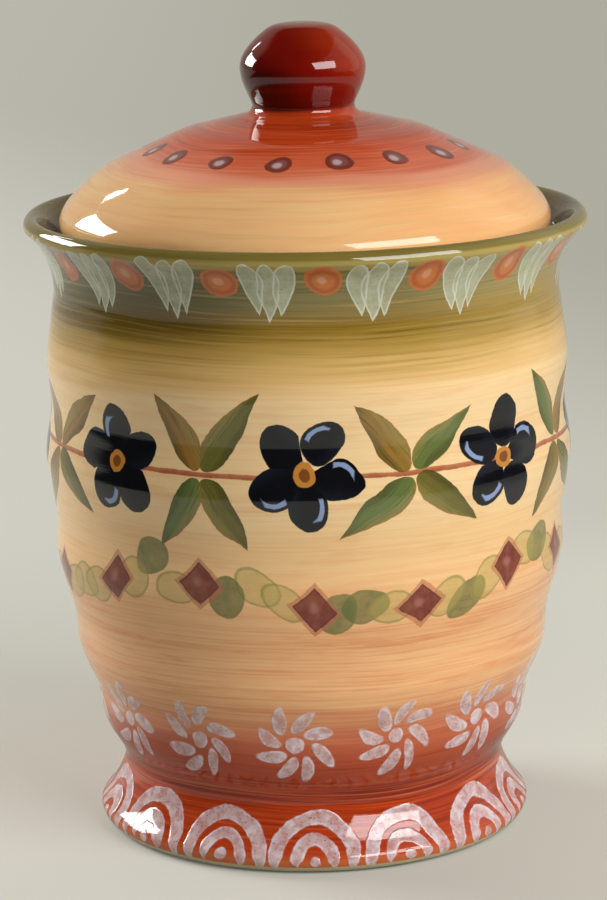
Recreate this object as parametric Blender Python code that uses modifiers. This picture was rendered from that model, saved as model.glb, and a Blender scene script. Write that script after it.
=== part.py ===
"""Kitchen canister: a turned stoneware jar with a flared foot, and a domed lid that drops into its lip.

Units are metres, +Z is up, and the jar stands on Z = 0 with the Z axis through its middle.
Every piece is turned: an outline in the XZ plane, spun about Z by a Screw modifier.
An outline is a list of (radius, height) points that runs up the inside and down the outside.
"""
import math

import bpy

# Jar, outside: radii from the axis
FOOT_RADIUS = 0.0702            # widest circle of the flared foot
FOOT_EDGE_HEIGHT = 0.0046       # height of that circle, with the foot's lower edge rounded below it
FOOT_EDGE_ROUNDING = 0.0038
FOOT_RING_WIDTH = 0.0074        # flat ring that touches the floor
FOOT_FLARE_POWER = 1.65         # 1 is a straight cone from waist to foot
RECESS_DEPTH = 0.0030           # turned hollow inside the ring
RECESS_TAPER = 0.0020
WAIST_RADIUS = 0.0619
WAIST_HEIGHT = 0.0215
WALL_HEIGHT = 0.1540            # from the waist to the neck under the lip
NECK_RADIUS = 0.0810
LIP_OVERHANG = 0.0090           # how far the lip flares beyond the neck
LIP_FLARE_HEIGHT = 0.0200
LIP_FLARE_POWER = 2.3
LIP_ROUNDING = 0.0026           # from the lip's widest circle in to its crest
LIP_CREST_RISE = 0.0037

# Thrown wall from waist to neck: (share of the wall's height, how far it stands outside a straight wall)
WALL_SHAPE = (
    (0.029, 0.0011),
    (0.075, 0.0045),
    (0.120, 0.0056),            # slight ridge above the foot
    (0.159, 0.0058),
    (0.205, 0.0080),
    (0.250, 0.0095),            # second ridge
    (0.295, 0.0093),
    (0.341, 0.0096),
    (0.393, 0.0110),
    (0.451, 0.0118),            # third ridge
    (0.516, 0.0102),            # groove
    (0.581, 0.0104),
    (0.653, 0.0105),            # belly ridge, the widest
    (0.705, 0.0086),
    (0.763, 0.0063),            # groove
    (0.851, 0.0057),            # shoulder ridge
    (0.925, 0.0030),
)

# Jar, inside
WALL = 0.0056                   # wall thickness, measured level
FLOOR_HEIGHT = 0.0105           # inner floor above the outside floor
COVE_RADIUS = 0.0090            # rounding between inner floor and wall
SEAT_RISE = 0.0138              # ledge that the lid rests on, above the neck
SEAT_WIDTH = 0.0050
SLOPE_DROP = 0.0010             # top of the lip's inner slope, below and inside the crest
SLOPE_STEP = 0.0020

# Lid: heights from its bearing face
LID_SIDE_GAP = 0.0021           # between the lid's widest circle and the outside of the seat
LID_WIDEST_HEIGHT = 0.0083
LID_EDGE_DRAFT = 0.0007         # how much the edge draws in below the widest circle
LID_EDGE_ROUNDING = 0.0012
CROWN_RADIUS = 0.0180           # level top of the lid, under the knob
CROWN_HEIGHT = 0.0398
CROWN_THICKNESS = 0.0075
LID_WALL = 0.0055

# Dome from crown to widest circle: (share of the way out, share of the way down)
DOME_SHARES = (
    (0.100, 0.032),
    (0.232, 0.092),
    (0.348, 0.149),             # shoulder of the raised centre
    (0.464, 0.248),
    (0.580, 0.349),             # faint hollow
    (0.680, 0.432),
    (0.771, 0.517),
    (0.846, 0.629),
    (0.912, 0.752),
    (0.970, 0.876),
)

# Flange that drops into the mouth, and the silicone ring in its groove
FLANGE_DEPTH = 0.0110
FLANGE_THICKNESS = 0.0056
FLANGE_CLEARANCE = 0.0012       # between flange and mouth
GROOVE_TOP = 0.0032             # below the bearing face
GROOVE_WIDTH = 0.0046
GROOVE_DEPTH = 0.0020
SEAL_BULGE = 0.0008             # rounding of the ring's outer face

# Knob, stuck into a shallow socket in the crown
KNOB_RADIUS = 0.0200            # widest circle
KNOB_HEIGHT = 0.0292            # top of the knob above the crown
KNOB_FOOT_RADIUS = 0.0173
SPIGOT_RADIUS = 0.0090
SPIGOT_LENGTH = 0.0030
SPIGOT_CLEARANCE = 0.0004

# Side of the knob from top to neck: (share of its height, share of its radius)
KNOB_SHARES = (
    (0.993, 0.26),
    (0.959, 0.49),              # edge of the flattened top
    (0.877, 0.665),
    (0.767, 0.83),              # slanting shoulder
    (0.644, 0.955),
    (0.530, 1.00),
    (0.415, 0.985),
    (0.308, 0.935),             # slope under the widest part
    (0.205, 0.87),
    (0.116, 0.815),             # neck
    (0.055, 0.81),
)

FIT_GAP = 0.0003                # between faces that touch
MERGE_DISTANCE = 0.00001
STEPS = 52                      # sides of the jar, lid and ring
KNOB_STEPS = 32
WALL_STEPS = 2                  # sides between two knots of the outer wall

# Values that follow from the ones above
NECK_HEIGHT = WAIST_HEIGHT + WALL_HEIGHT
RIM_RADIUS = NECK_RADIUS + LIP_OVERHANG
RIM_HEIGHT = NECK_HEIGHT + LIP_FLARE_HEIGHT
MOUTH_RADIUS = NECK_RADIUS - WALL
SEAT_HEIGHT = NECK_HEIGHT + SEAT_RISE
SEAT_OUTER = MOUTH_RADIUS + SEAT_WIDTH
BEARING_HEIGHT = SEAT_HEIGHT + FIT_GAP
LID_RADIUS = SEAT_OUTER - LID_SIDE_GAP
FLANGE_OUTER = MOUTH_RADIUS - FLANGE_CLEARANCE
FLANGE_INNER = FLANGE_OUTER - FLANGE_THICKNESS
FLANGE_BOTTOM = BEARING_HEIGHT - FLANGE_DEPTH
GROOVE_BOTTOM = BEARING_HEIGHT - GROOVE_TOP - GROOVE_WIDTH
CROWN_TOP = BEARING_HEIGHT + CROWN_HEIGHT


def smooth_curve(points, steps):
    """Points on a Catmull-Rom curve through the given ones, with so many steps from one to the next."""
    first = [2 * a - b for a, b in zip(points[0], points[1])]
    last = [2 * a - b for a, b in zip(points[-1], points[-2])]
    knots = [first, *points, last]
    curve = []
    for before, start, end, after in zip(knots, knots[1:], knots[2:], knots[3:]):
        for step in range(steps):
            t = step / steps
            curve.append(tuple(
                0.5 * (2 * b + (c - a) * t + (2 * a - 5 * b + 4 * c - d) * t ** 2
                       + (3 * b - a - 3 * c + d) * t ** 3)
                for a, b, c, d in zip(before, start, end, after)
            ))
    return curve + [tuple(points[-1])]


def quarter(centre, across, up, start, end, steps):
    """Points on an ellipse about centre, from one angle to another in degrees, 0 pointing outwards."""
    turn = [math.radians(start + (end - start) * step / steps) for step in range(steps + 1)]
    return [(centre[0] + across * math.cos(a), centre[1] + up * math.sin(a)) for a in turn]


def flare(small, large, power, steps):
    """Points from a (radius, height) circle to a wider one, curving away slowly at first."""
    shares = [step / steps for step in range(steps + 1)]
    return [
        (small[0] + (large[0] - small[0]) * share ** power, small[1] + (large[1] - small[1]) * share)
        for share in shares
    ]


def joined(*runs):
    """One outline from several runs of points, leaving out points that repeat the one before."""
    outline = []
    for run in runs:
        for point in run:
            if not outline or math.dist(outline[-1], point) > MERGE_DISTANCE:
                outline.append(point)
    return outline


def inwards(points, distance):
    """Points moved square to their curve, down and inwards, for a curve that runs outwards and down."""
    moved = []
    for before, point, after in zip(points, points[1:], points[2:]):
        across, up = after[0] - before[0], after[1] - before[1]
        length = math.hypot(across, up)
        moved.append((point[0] + distance * up / length, point[1] - distance * across / length))
    return moved


def wall_points():
    """Knots of the outer wall from waist to neck, as (radius, height)."""
    knots = [
        (WAIST_RADIUS + (NECK_RADIUS - WAIST_RADIUS) * share + bulge, WAIST_HEIGHT + WALL_HEIGHT * share)
        for share, bulge in WALL_SHAPE
    ]
    return [(WAIST_RADIUS, WAIST_HEIGHT), *knots, (NECK_RADIUS, NECK_HEIGHT)]


def jar_inside():
    """From the middle of the inner floor up to the mouth, one wall thickness inside the outer knots."""
    cove_top = FLOOR_HEIGHT + COVE_RADIUS
    wall = [(radius - WALL, height) for radius, height in wall_points() if height > cove_top]
    cove = quarter((wall[0][0] - COVE_RADIUS, cove_top), COVE_RADIUS, COVE_RADIUS, -90, 0, 3)
    return joined([(0.0, FLOOR_HEIGHT)], cove, wall)


def lip():
    """From the ledge in the mouth, up the lip's inner slope, over its crest and down to the neck."""
    crest = (RIM_RADIUS - LIP_ROUNDING, RIM_HEIGHT + LIP_CREST_RISE)
    slope_top = (crest[0] - SLOPE_STEP, crest[1] - SLOPE_DROP)
    edge = quarter((crest[0], RIM_HEIGHT), LIP_ROUNDING, LIP_CREST_RISE, 90, 0, 4)
    neck_flare = flare((NECK_RADIUS, NECK_HEIGHT), (RIM_RADIUS, RIM_HEIGHT), LIP_FLARE_POWER, 5)
    seat = [(MOUTH_RADIUS, SEAT_HEIGHT), (SEAT_OUTER, SEAT_HEIGHT)]
    return joined(seat, [slope_top], edge, reversed(neck_flare))


def foot():
    """From the waist, down the flare and round its lower edge, to the hollow inside the ring."""
    contact = FOOT_RADIUS - FOOT_EDGE_ROUNDING
    recess = contact - FOOT_RING_WIDTH
    spread = flare((WAIST_RADIUS, WAIST_HEIGHT), (FOOT_RADIUS, FOOT_EDGE_HEIGHT), FOOT_FLARE_POWER, 4)
    edge = quarter((contact, FOOT_EDGE_HEIGHT), FOOT_EDGE_ROUNDING, FOOT_EDGE_HEIGHT, 0, -90, 3)
    hollow = [(recess, 0.0), (recess - RECESS_TAPER, RECESS_DEPTH), (0.0, RECESS_DEPTH)]
    return joined(spread, edge, hollow)


def jar_outline():
    """From the middle of the inner floor, up the inside, over the lip and down to the foot's hollow."""
    outer_wall = smooth_curve(wall_points(), WALL_STEPS)
    return joined(jar_inside(), lip(), reversed(outer_wall), foot())


def dome_points():
    """Knots of the lid's upper face from the crown's edge to the widest circle."""
    fall = CROWN_HEIGHT - LID_WIDEST_HEIGHT
    knots = [
        (CROWN_RADIUS + (LID_RADIUS - CROWN_RADIUS) * out, CROWN_TOP - fall * down)
        for out, down in DOME_SHARES
    ]
    return [(CROWN_RADIUS, CROWN_TOP), *knots, (LID_RADIUS, BEARING_HEIGHT + LID_WIDEST_HEIGHT)]


def lid_outline():
    """From the knob's socket, down the dome, round the edge and the flange, to the hollow underside."""
    dome = dome_points()
    socket_radius = SPIGOT_RADIUS + SPIGOT_CLEARANCE
    socket_floor = CROWN_TOP - SPIGOT_LENGTH
    socket = [(0.0, socket_floor), (socket_radius, socket_floor), (socket_radius, CROWN_TOP)]
    corner = (LID_RADIUS - LID_EDGE_DRAFT - LID_EDGE_ROUNDING, BEARING_HEIGHT + LID_EDGE_ROUNDING)
    low_edge = quarter(corner, LID_EDGE_ROUNDING, LID_EDGE_ROUNDING, 0, -90, 3)
    flange = [
        (FLANGE_OUTER, BEARING_HEIGHT),
        (FLANGE_OUTER, GROOVE_BOTTOM + GROOVE_WIDTH),
        (FLANGE_OUTER - GROOVE_DEPTH, GROOVE_BOTTOM + GROOVE_WIDTH),
        (FLANGE_OUTER - GROOVE_DEPTH, GROOVE_BOTTOM),
        (FLANGE_OUTER, GROOVE_BOTTOM),
        (FLANGE_OUTER, FLANGE_BOTTOM),
        (FLANGE_INNER, FLANGE_BOTTOM),
    ]
    under_crown = CROWN_TOP - CROWN_THICKNESS
    underside = [
        point for point in inwards(dome, LID_WALL)
        if point[0] < FLANGE_INNER and point[1] < under_crown
    ]
    return joined(socket, dome, low_edge, flange, reversed(underside), [(0.0, under_crown)])


def seal_outline():
    """A closed ring that fills the flange's groove and stands out to the mouth, rounded outside."""
    inner = FLANGE_OUTER - GROOVE_DEPTH + FIT_GAP
    outer = MOUTH_RADIUS - FIT_GAP
    low = GROOVE_BOTTOM + FIT_GAP
    high = GROOVE_BOTTOM + GROOVE_WIDTH - FIT_GAP
    middle = (low + high) / 2
    face = quarter((outer - SEAL_BULGE, middle), SEAL_BULGE, (high - low) / 2, 90, -90, 4)
    return joined([(inner, low), (inner, high)], face)


def knob_outline():
    """From the middle of the knob's top, down its side, to its foot and the spigot in the socket."""
    side = [(KNOB_RADIUS * out, CROWN_TOP + KNOB_HEIGHT * up) for up, out in KNOB_SHARES]
    spigot_end = CROWN_TOP - SPIGOT_LENGTH + FIT_GAP
    foot_height = CROWN_TOP + FIT_GAP
    base = [(KNOB_FOOT_RADIUS, foot_height), (SPIGOT_RADIUS, foot_height)]
    spigot = [(SPIGOT_RADIUS, spigot_end), (0.0, spigot_end)]
    return joined([(0.0, CROWN_TOP + KNOB_HEIGHT)], side, base, spigot)


def glaze(name, colour, roughness=0.12):
    """A glazed or moulded surface in one colour."""
    material = bpy.data.materials.new(name)
    material.use_nodes = True
    shader = material.node_tree.nodes["Principled BSDF"]
    shader.inputs["Base Color"].default_value = (*colour, 1.0)
    shader.inputs["Roughness"].default_value = roughness
    shader.inputs["Metallic"].default_value = 0.0
    material.diffuse_color = (*colour, 1.0)
    return material


def turned(name, outline, level, steps, material, collection, closed=False):
    """A solid of revolution about Z, with its origin on the axis at the given level."""
    mesh = bpy.data.meshes.new(name)
    points = [(radius, 0.0, height - level) for radius, height in outline]
    edges = [(i, i + 1) for i in range(len(points) - 1)]
    if closed:
        edges.append((len(points) - 1, 0))
    mesh.from_pydata(points, edges, [])
    mesh.materials.append(material)
    piece = bpy.data.objects.new(name, mesh)
    piece.location = (0.0, 0.0, level)
    collection.objects.link(piece)
    screw = piece.modifiers.new("Turn", "SCREW")
    screw.axis = "Z"
    screw.angle = 2 * math.pi
    screw.steps = steps
    screw.render_steps = steps
    screw.use_merge_vertices = True
    screw.merge_threshold = MERGE_DISTANCE
    screw.use_smooth_shade = True
    return piece


def axis_empty(name, level, collection):
    """An empty on the Z axis that carries a moving body."""
    empty = bpy.data.objects.new(name, None)
    empty.empty_display_size = LID_RADIUS
    empty.location = (0.0, 0.0, level)
    collection.objects.link(empty)
    return empty


def carry(piece, parent):
    """Parent a piece without moving it."""
    piece.parent = parent
    piece.location = (0.0, 0.0, piece.location.z - parent.location.z)


def main():
    for thing in list(bpy.data.objects):
        bpy.data.objects.remove(thing, do_unlink=True)
    collection = bpy.data.collections.new("kitchen_canister")
    bpy.context.scene.collection.children.link(collection)

    cream = glaze("cream_glaze", (0.79, 0.50, 0.24))
    coral = glaze("coral_glaze", (0.76, 0.36, 0.20))
    oxblood = glaze("oxblood_glaze", (0.20, 0.02, 0.01), roughness=0.08)
    silicone = glaze("silicone", (0.80, 0.78, 0.72), roughness=0.5)

    turned("canister_body", jar_outline(), 0.0, STEPS, cream, collection)
    lift_axis = axis_empty("lid_lift_axis", SEAT_HEIGHT, collection)
    seal = turned("lid_seal", seal_outline(), GROOVE_BOTTOM, STEPS, silicone, collection, closed=True)
    carry(seal, lift_axis)
    turn_axis = axis_empty("lid_turn_axis", SEAT_HEIGHT, collection)
    lid = turned("lid", lid_outline(), BEARING_HEIGHT, STEPS, coral, collection)
    knob = turned("lid_knob", knob_outline(), CROWN_TOP, KNOB_STEPS, oxblood, collection)
    carry(lid, turn_axis)
    carry(knob, turn_axis)
    carry(turn_axis, lift_axis)


main()
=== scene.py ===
"""Kitchen canister, dressed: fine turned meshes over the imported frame, with hand-painted glazes.

Objects are in metres, in the frame's own space. Patterns are worked out in millimetres, from a point's
height and from its place round the jar, where 0 is the front and +X is to the right.
"""

import math

import bmesh
import bpy
from mathutils import Matrix, Vector
from mathutils import noise as field


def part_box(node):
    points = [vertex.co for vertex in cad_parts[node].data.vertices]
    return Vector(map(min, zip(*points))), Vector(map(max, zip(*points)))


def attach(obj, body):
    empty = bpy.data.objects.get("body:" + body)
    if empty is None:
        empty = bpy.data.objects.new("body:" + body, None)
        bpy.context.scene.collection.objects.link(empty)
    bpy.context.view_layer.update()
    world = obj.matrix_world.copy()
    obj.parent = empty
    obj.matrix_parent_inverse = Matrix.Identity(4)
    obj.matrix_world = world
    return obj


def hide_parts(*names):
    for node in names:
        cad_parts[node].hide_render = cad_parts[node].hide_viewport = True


MM = 0.001
FRAME_WIDTH, FRAME_HEIGHT = 607, 900    # the photograph, in pixels

# Camera, from the fit to the photograph
CAMERA_DISTANCE = 1.100
CAMERA_AIM_HEIGHT = 0.1201
CAMERA_ELEVATION = 12.601
CAMERA_ROLL = -0.927
FOCAL_PIXELS = 3393.0
AXIS_PIXEL_X = 308.8            # where the lens axis meets the picture
SENSOR_WIDTH = 36.0
CLIP_NEAR, CLIP_FAR = 0.05, 60.0

# Meshes
SIDES = 240                     # round the jar, the lid and the ring
KNOB_SIDES = 128
POINT_SPACING = 1.5 * MM        # along an outline
POINT_APART = 0.01 * MM         # nearer points become one
CORNER_ANGLE = 50.0             # sharper turns of an outline are edges, and get a small rounding
EDGE_ROUNDING, ROUNDING_STEPS = 0.7 * MM, 5
ROUNDING_SHARE = 0.4            # of the way to the next point, at most
WELD = 0.001 * MM
WOBBLE = 0.22 * MM              # how far the thrown clay strays inwards from a true circle
WOBBLE_WAVES = (                # seed, how fine round the pot, how fine up it, strength
    (0.0, 1.1, 14.0, 0.6),
    (5.0, 3.0, 55.0, 0.25),
)
FOOT_CLEAR, NECK_CLEAR = 6 * MM, 176 * MM   # the heights between which it strays

SEAT_ABOVE_FLANGE = 11.4 * MM   # the jar's ledge, from the lower edge of the lid's flange
RECESS_TOP = 3.2 * MM           # under the jar
FOOT_EDGE = 3.9 * MM            # glazed, round the bare clay underneath
LID_EDGE_POINTS = 8             # points of the lid's outline from its lower edge to its widest circle
BARE_EDGE = 0.8 * MM            # of the flange, from its lower edge up
KNOB_NECK_ABOVE = 3.0 * MM      # over the crown, from where on the knob keeps the frame's outline
KNOB_SKIRT = (                  # fillet under it: out from the neck, and up from the crown
    (6.4 * MM, -0.9 * MM),
    (4.6 * MM, -0.12 * MM),
    (2.7 * MM, 0.28 * MM),
    (1.3 * MM, 0.85 * MM),
    (0.45 * MM, 1.7 * MM),
)
SEAL_RIBS, SEAL_RIB_DEPTH = 3, 0.9 * MM
SEAL_RIB = (                    # from its top, in shares of its depth inwards and of its height down
    (1.0, 0.0),
    (0.3, 0.12),
    (0.0, 0.45),
    (0.2, 0.75),
    (1.0, 0.92),
)

# Materials of a turned piece, in order
PAINTED, PLAIN, BARE, MOUTH = range(4)

# Painted rows, in millimetres and radians; heights are of their middles
STRIPE_HEIGHT, STRIPE_HALF = 130.3, 0.95
BELLY_RADIUS = 85.0
FLOWERS = 8
PETALS, PETAL_REACH, PETAL_LENGTH, PETAL_WIDTH, PETAL_TURN = 5, 10.2, 16.2, 12.8, math.pi / 10
EYE_RADIUS, EYE_RING = 3.5, 1.6
GLINT_DEPTH, GLINT_HALF, GLINT_ALONG, GLINT_REACH = 2.0, 0.85, 1.4, 3.8     # inside a petal's edge
LEAF_LENGTH, LEAF_WIDTH, LEAF_LEAN = 28.5, 9.6, 0.93
LEAF_ASIDE, LEAF_OFF_STRIPE = 0.9, 1.3      # where a leaf starts, from the middle of its cross
GARLAND_CELLS, GARLAND_RADIUS, GARLAND_HEIGHT = 15, 82.0, 91.5
GARLAND_WAVES, GARLAND_TURN, GARLAND_SWING = 4.0, 0.8, 4.5
LOZENGE_REACH, LOZENGE_RIM, LOZENGE_SHINE = 8.8, 1.7, 2.5
OVAL_LENGTH, OVAL_WIDTH = 15.0, 11.4
OVAL_ROWS = (                   # how many, seed, how far they scatter up and down, share of pale ones
    (GARLAND_CELLS, 3.7, 13.0, 0.45),
    (2 * GARLAND_CELLS, 4.0, 5.0, 0.8),
)
DAISIES, DAISY_RADIUS, DAISY_HEIGHT, DAISY_EYE = 14, 72.0, 42.5, 3.0
DAISY_STROKES, DAISY_REACH, DAISY_STROKE_LENGTH, DAISY_STROKE_WIDTH = 8, 8.9, 9.8, 5.2
ARCHES, ARCH_RADIUS, ARCH_HEIGHT, ARCH_DOT = 14, 67.0, 4.5, 2.0
BOLD_ARCH, BOLD_HALF = 12.2, 2.5
SMALL_ARCH, SMALL_HALF = 5.9, 2.1
TULIPS, TULIP_RADIUS, TULIP_TOP = 17, 86.0, 194.5
TULIP_LENGTH, TULIP_WIDTH = 19.5, 8.0
TULIP_SIDE_LENGTH, TULIP_SIDE_WIDTH = 18.135, 7.2
TULIP_SIDE_START, TULIP_SIDE_LEAN = 7.6, 1.235
LIP_DOT_DROP, LIP_DOT_RADIUS, LIP_DOT_SHINE = 5.0, 5.3, 1.9
LID_DOTS, LID_DOTS_RADIUS, LID_DOT_RADIUS, LID_DOT_RIM, LID_DOT_SHINE = 16, 49.0, 4.3, 1.5, 2.0

# Grains of the brush and the hand, in millimetres along x, y and z
FINE_STREAK, BROAD_STREAK = (64, 64, 0.9), (80, 80, 5.0)
STREAK_DRIFT, STREAK_RISE = (80, 80, 40), 5.0       # streaks climb and fall this much round the pot
STREAK_STRENGTH = 5.5           # of streaks in a wash where it is thin
WANDER_GRAIN, WANDER = (16, 16, 16), 4.4            # of a line drawn freely
ROUGH_GRAIN, ROUGH = (1.8, 1.8, 1.8), 0.5           # of a mark's edge
BLOTCH_GRAIN, SPECK_GRAIN = (4.5, 4.5, 4.5), (0.55, 0.55, 0.55)
SLIP_GRAIN = (2.6, 2.6, 2.6)
BRISTLE_GRAIN = (13.0, 0.5, 1.0)                    # along a leaf, across it, and from leaf to leaf
JAR_PATCH, LID_PATCH, LID_DRIFT = (30, 30, 3.2), (30, 30, 1.2), (50, 50, 50)
CLAY_GRAIN, CLAY_BLOTCH, DUST_GRAIN = (0.6, 0.6, 0.6), (9, 9, 9), (6, 6, 6)
STROKE_BULGE = 0.77             # twice the most that the root of s, times 1 - s, reaches

LAMP_AIM = (0.0, 0.0, 0.12)
LAMPS = (                       # watts; degrees to the right of the camera and up; metres away, wide, high
    ("key", 14.2, 43, 28, 1.25, 0.89, 0.53),
    ("left_lamp", 11.8, -119, 21, 1.15, 0.57, 0.37),
    ("fill", 6.2, 92, 26, 2.20, 3.00, 2.40),
    ("left_strip", 0.32, -139, 33, 1.15, 0.055, 0.16),
)

# Floor and room, in metres: x is to the right, y away from the camera, and far the distance from the
# object's axis. A pair says where a change begins and where it is complete.
FLOOR_HALF, FLOOR_SQUARES, FLOOR_PLACE = 6.0, 24, (0.0, 2.0, -0.0004)
LEFT_TO_RIGHT = (-0.35, 0.1)    # x
FRONT_TO_BACK = (0.35, 1.55)    # 2 x + y
POOL_X, POOL_Y, POOL_FAR = (0.02, 0.14), (0.42, 0.24), (0.7, 0.3)   # lit patch on the near right
GAP_END = (0.0645, 0.069)       # far, where the paper comes out from under the foot
FOOT_MIRROR, FOOT_MIRROR_DARK = (0.14, 0.09), 0.6   # far, where the glaze mirrors the paper darker
PLAIN_PAPER = (0.16, 0.6)       # far, from what the lamps make of the paper to its plain colour
TABLE_EDGE, TABLE_EDGE_SOFT = 0.8, 0.01
BEHIND = (0.2, 0.5)             # y, from which on the glaze mirrors paper without an end
PAPER_LIFT = 0.30               # of the plain colour, over what the lamps make of the paper
BACKDROP_START, BACKDROP_TOP = (0.12, 0.36), (0.80, 0.66)   # y and z of a direction of length 1

GLAZE_ROUGHNESS, INNER_ROUGHNESS, CLAY_ROUGHNESS, SILICONE_ROUGHNESS = 0.05, 0.12, 0.85, 0.45
PAPER_ROUGHNESS, PAPER_SPECULAR = 0.7, 0.2
RELIEF = 0.0002                 # height of the thickest slip, in metres

# Colours, as sRGB
CREAM = (249, 206, 145)
CREAM_PALE = (247, 213, 158)
INNER_CREAM = (240, 222, 186)
TAN = (228, 170, 112)
PEACH = (246, 180, 124)
PEACH_DARK = (224, 136, 80)
PEACH_PALE = (253, 204, 150)
SALMON = (222, 138, 96)
TERRACOTTA = (190, 88, 52)
BRICK = (180, 71, 36)
FOOT_RED = (186, 62, 22)
RED_BROWN = (110, 26, 10)
ORANGE = (214, 112, 60)
HONEY = (221, 180, 110)
GOLD = (185, 149, 74)
OLIVE_BROWN = (138, 108, 34)
OLIVE = (130, 121, 72)
OLIVE_DEEP = (42, 34, 2)
OLIVE_PALE = (206, 180, 112)
RIM_OCHRE = (184, 162, 84)
# the next colour is painted shade along the rim, next to the lid's edge
RIM_PAINTED_SHADE = (104, 90, 34)
OLIVE_GOLD = (134, 130, 66)
# the next colour is painted shade down inside the mouth, under the lid
MOUTH_OLIVE_SHADE = (88, 76, 30)
UMBER = (96, 66, 16)
LID_CREAM = (253, 198, 135)
AMBER = (245, 180, 114)
BLUSH = (240, 150, 116)
CORAL = (218, 96, 58)
RUST = (198, 68, 24)
DEEP_RUST = (156, 36, 8)
# the next colour is painted light on the knob's right side and top
OXBLOOD_PAINTED_LIGHT = (156, 44, 14)
OXBLOOD = (120, 13, 3)
# the next colour is painted shade on the knob's left side and low down
OXBLOOD_PAINTED_SHADE = (64, 3, 1)
STRIPE = (164, 80, 48)
STRIPE_PALE = (200, 120, 80)
LEAF_GREEN = (104, 98, 38)
LEAF_FRESH = (84, 122, 68)
LEAF_DARK = (56, 56, 22)
LEAF_OCHRE = (158, 112, 44)
LEAF_PALE = (156, 142, 76)
INK = (15, 15, 19)
# the next colour is a painted sheen on the dark dabs, and also their thin spots
INK_BLUE = (27, 31, 42)
INK_LIGHT = (150, 168, 208)
EYE_OCHRE = (198, 132, 56)
EYE_DARK = (112, 56, 26)
SAGE = (182, 164, 84)
SAGE_GREEN = (104, 110, 54)
SAGE_EDGE = (136, 128, 66)
MAROON = (122, 48, 34)
MAROON_DARK = (84, 28, 20)
LOZENGE_EDGE = (190, 104, 76)
MAUVE = (178, 118, 106)
PALE_SAGE = (184, 188, 160)
SAGE_WHITE = (222, 226, 208)
DOT_OCHRE = (214, 112, 44)
DOT_RUST = (158, 70, 30)
DOT_PINK = (222, 160, 126)
DOT_BROWN = (104, 42, 34)
DOT_HAZE = (150, 92, 88)
DOT_MAUVE = (204, 176, 172)
SLIP_THIN = (204, 162, 158)
SLIP = (214, 186, 186)
SLIP_EDGE = (238, 230, 233)
SLIP_SPECK = (112, 66, 70)
CLAY = (222, 208, 176)
CLAY_DARK = (186, 164, 126)
CLAY_LINE = (208, 196, 150)
# the next colour is a painted contact shadow along the foot's lowest edge
CLAY_PAINTED_SHADE = (150, 138, 100)
SILICONE = (226, 221, 208)
SILICONE_DUSTY = (206, 198, 182)
PAPER = (180, 179, 170)
FLOOR_FRONT = (207, 205, 193)
FLOOR_LIT = (229, 226, 209)
FLOOR_LEFT = (185, 183, 172)
FLOOR_RIGHT = (174, 172, 159)
BACKDROP = (179, 177, 165)
DARK_ROOM = (48.4, 48.4, 48.4)  # what the glaze mirrors in front, where the photographer stands

# Washes: pigment, where it begins, where it is full, how thickly it covers.
# The jar's go by height and the lid's by radius, in millimetres.
FOOT_WASHES = (
    (SALMON, 60.5, 46.5, 0.95),
    (TERRACOTTA, 50.0, 40.0, 0.95),
    (BRICK, 42.0, 33.0, 0.9),
)
SHOULDER_WASHES = (
    (HONEY, 153.0, 163.0, 0.88),
    (GOLD, 160.0, 170.0, 0.92),
    (OLIVE_BROWN, 167.0, 176.0, 0.95),
    (OLIVE, 177.5, 184.0, 0.85),
)
LID_WASHES = (
    (BLUSH, 68.5, 57.5, 0.9),
    (CORAL, 58.5, 51.0, 0.95),
    (RUST, 49.0, 37.0, 0.95),
    (DEEP_RUST, 33.0, 24.0, 0.45),
)

# Other bands that begin and are full at these places
PALE_FROM, PALE_TO = (108.0, 118.0), (162.0, 152.0)
PEACH_BAND, BELLY_BAND = (112.0, 76.0), (96.0, 78.0)
DARK_FOOT, RED_FOOT, ORANGE_FOOT, ORANGE_EDGE = (42.0, 28.0), (27.0, 19.0), (40.0, 20.0), (7.5, 2.5)
WAIST_HEIGHT, WAIST_BAND = 22.5, (5.0, 1.0)
SHOULDER_BAND, OLIVE_BAND = (156.0, 168.0), (168.0, 177.0)
# by x: painted shade on the olive's left side and painted light on its right side
OLIVE_PAINTED_SHADE_LEFT, OLIVE_PAINTED_LIGHT_RIGHT = (-4.0, -38.0), (22.0, 70.0)
# the first pair lays ochre below the lip, glaze breaking with painted light on the bead; the second is
# painted shade along the rim's top
CREST_BAND, RIM_SHADE_BAND = (193.2, 194.6), (196.4, 197.4)
# both pairs place painted shade in the mouth, along its rim and deeper down
MOUTH_RIM_SHADE, MOUTH_PAINTED_SHADE = (195.4, 197.4), (197.4, 194.5)
# the second pair is where a painted contact shadow darkens the foot's lowest edge
CLAY_BAND, PAINTED_CONTACT_SHADE_BAND = (2.4, 1.9), (0.75, 0.35)
LID_AMBER, LID_RUST_STREAKS, LID_BLUSH_STREAKS = (0.0, 55.0), (54.0, 44.0), (60.0, 50.0)
# the knob's first two bands are painted shade on its left and low side and painted light on its right and
# top
KNOB_PAINTED_SHADE, KNOB_PAINTED_LIGHT, KNOB_NECK = (-2.0, 18.0), (18.0, 40.0), (3.8, 0.8)     # over the lid's crown

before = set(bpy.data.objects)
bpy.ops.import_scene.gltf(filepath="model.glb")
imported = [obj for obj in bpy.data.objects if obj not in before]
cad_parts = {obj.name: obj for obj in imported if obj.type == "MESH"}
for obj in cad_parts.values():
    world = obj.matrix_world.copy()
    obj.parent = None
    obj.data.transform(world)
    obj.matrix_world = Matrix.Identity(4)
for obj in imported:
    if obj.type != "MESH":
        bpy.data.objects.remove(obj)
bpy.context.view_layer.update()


def linear(colour):
    """An sRGB colour, 0 to 255, as the linear colour that a shader takes."""
    return tuple(
        (c / 255) / 12.92 if c <= 10 else ((c / 255 + 0.055) / 1.055) ** 2.4 for c in colour
    )


# Outlines, read from the frame and turned finely

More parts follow.
